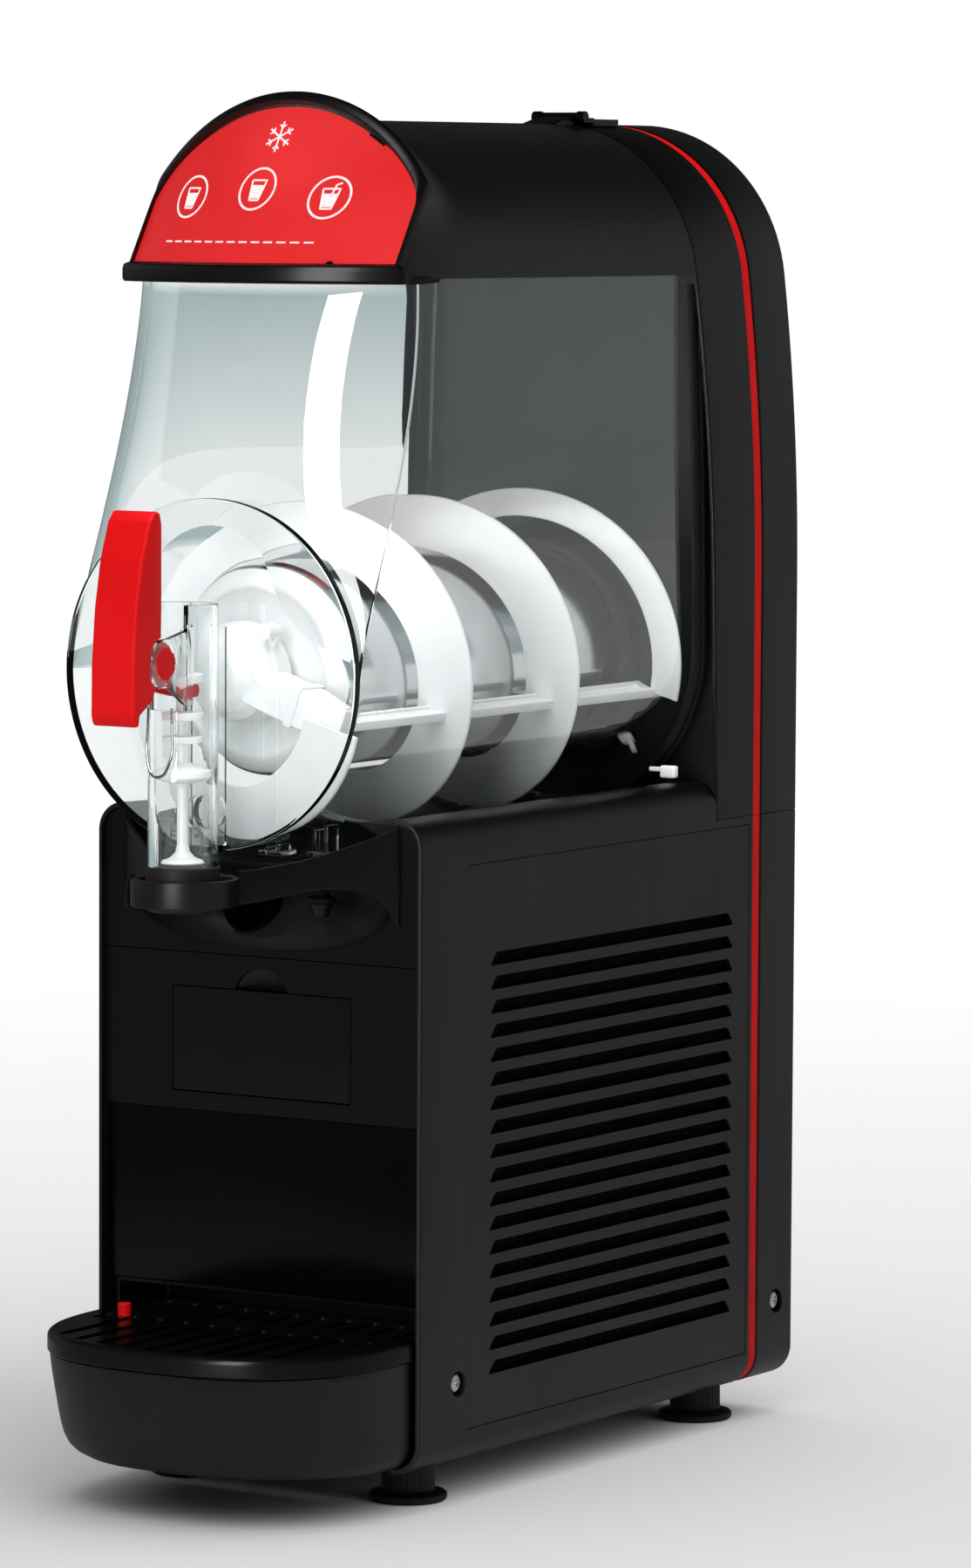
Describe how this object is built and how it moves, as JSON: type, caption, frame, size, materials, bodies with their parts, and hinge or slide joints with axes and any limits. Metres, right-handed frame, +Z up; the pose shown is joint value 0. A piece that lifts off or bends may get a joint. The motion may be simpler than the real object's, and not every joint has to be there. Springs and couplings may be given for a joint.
{
  "type": "slush machine",
  "caption": "Single-bowl countertop slush machine: clear bowl, auger round a chilled drum, self-closing tap, hinged lit hood, vented cabinet, drip tray and feet.",
  "frame": {"origin": "middle of the machine's plan at the level of the feet's soles", "axes": "+Z up, +X to the right of a person facing the tap, +Y towards the back of the machine"},
  "size_m": [0.242, 0.61, 0.87],
  "materials": {
    "black_plastic": "satin",
    "gloss_black": "polished",
    "red_plastic": "satin",
    "red_glow": "backlit, satin",
    "white_plastic": "satin",
    "rubber": "matte",
    "stainless": "brushed",
    "steel_wire": "bright",
    "painted_steel": "satin",
    "copper": "bright",
    "aluminium": "mill",
    "circuit_board": "satin",
    "clear_polycarbonate": "clear, polished"
  },
  "bodies": {
    "cabinet": {"base_pan": "painted_steel", "foot_front_left": "rubber", "foot_front_right": "rubber", "foot_rear_left": "rubber", "foot_rear_right": "rubber", "cabinet_side_right": "black_plastic", "cabinet_side_left": "black_plastic", "vent_panel_right": "black_plastic", "vent_panel_left": "black_plastic", "top_deck": "black_plastic", "front_fascia": "black_plastic", "drain_nozzle": "black_plastic", "middle_panel": "black_plastic", "splash_panel": "gloss_black", "control_box": "black_plastic", "power_switch": "gloss_black", "mode_switch": "gloss_black", "drip_collector": "black_plastic", "outlet_guard": "black_plastic", "outlet_cap": "rubber", "column_shell": "black_plastic", "bulkhead": "painted_steel", "upper_trim": "red_plastic", "lower_trim_right": "red_plastic", "lower_trim_left": "red_plastic", "rear_cover_upper": "black_plastic", "rear_cover_lower": "black_plastic", "power_inlet": "black_plastic", "hinge_block": "black_plastic", "bowl": "clear_polycarbonate", "bowl_gasket": "rubber", "return_spring": "steel_wire", "evaporator_drum": "stainless", "drum_seal": "rubber", "gear_motor": "painted_steel", "compressor": "painted_steel", "condenser": "aluminium", "fan_shroud": "painted_steel", "fan_motor": "painted_steel", "discharge_pipe": "copper", "tray_bay": "black_plastic", "side_screw_front_right": "steel_wire", "side_screw_rear_right": "steel_wire", "side_screw_front_left": "steel_wire", "side_screw_rear_left": "steel_wire"},
    "hood": {"hood": "black_plastic", "light_panel": "red_glow", "lamp_board": "circuit_board"},
    "handle": {"tap_handle": "red_plastic"},
    "piston": {"tap_piston": "white_plastic"},
    "auger": {"auger": "white_plastic", "drive_shaft": "stainless"},
    "fan": {"fan_blade": "aluminium"},
    "tray": {"drip_tray": "black_plastic"},
    "grille": {"tray_grille": "black_plastic"},
    "float": {"float_indicator": "red_plastic"},
    "flap": {"control_flap": "black_plastic"},
    "power_key": {"power_rocker": "red_plastic"},
    "mode_key": {"mode_rocker": "white_plastic"},
    "knob": {"density_knob": "black_plastic"}
  },
  "joints": [
    {"name": "hood_hinge", "type": "hinge", "parent": "cabinet", "child": "hood", "pos_m": [0, 0.1965, 0.8575], "axis": [-1, 0, 0], "range_deg": [0, 70]},
    {"name": "handle_pull", "type": "hinge", "parent": "cabinet", "child": "handle", "pos_m": [0, -0.273, 0.526], "axis": [1, 0, 0], "range_deg": [0, 35], "stiffness_Nm_per_rad": 1.2, "springref_deg": -14.32},
    {"name": "piston_lift", "type": "slide", "parent": "cabinet", "child": "piston", "axis": [0, 0, 1], "range_m": [0, 0.028]},
    {"name": "auger_spin", "type": "hinge", "parent": "cabinet", "child": "auger", "pos_m": [0, -0.151, 0.515], "axis": [0, 1, 0], "continuous": true},
    {"name": "fan_spin", "type": "hinge", "parent": "cabinet", "child": "fan", "pos_m": [0, -0.019, 0.17], "axis": [0, 1, 0], "continuous": true},
    {"name": "tray_slide", "type": "slide", "parent": "cabinet", "child": "tray", "axis": [0, -1, 0], "range_m": [0, 0.1]},
    {"name": "grille_lift", "type": "slide", "parent": "tray", "child": "grille", "axis": [0, 0, 1], "range_m": [0, 0.012]},
    {"name": "float_rise", "type": "slide", "parent": "tray", "child": "float", "axis": [0, 0, 1], "range_m": [0, 0.008]},
    {"name": "flap_open", "type": "hinge", "parent": "cabinet", "child": "flap", "pos_m": [0, -0.1444, 0.2532], "axis": [1, 0, 0], "range_deg": [0, 90]},
    {"name": "power_press", "type": "hinge", "parent": "cabinet", "child": "power_key", "pos_m": [-0.034, -0.1215, 0.28], "axis": [1, 0, 0], "range_deg": [0, 12]},
    {"name": "mode_press", "type": "hinge", "parent": "cabinet", "child": "mode_key", "pos_m": [0.006, -0.1215, 0.28], "axis": [1, 0, 0], "range_deg": [0, 12]},
    {"name": "density_turn", "type": "hinge", "parent": "cabinet", "child": "knob", "pos_m": [0.042, -0.123, 0.28], "axis": [0, -1, 0], "range_deg": [-135, 135]}
  ],
  "couplings": [
    {"joint": "piston_lift", "follows": "handle_pull", "m_per_rad": 0.045}
  ]
}
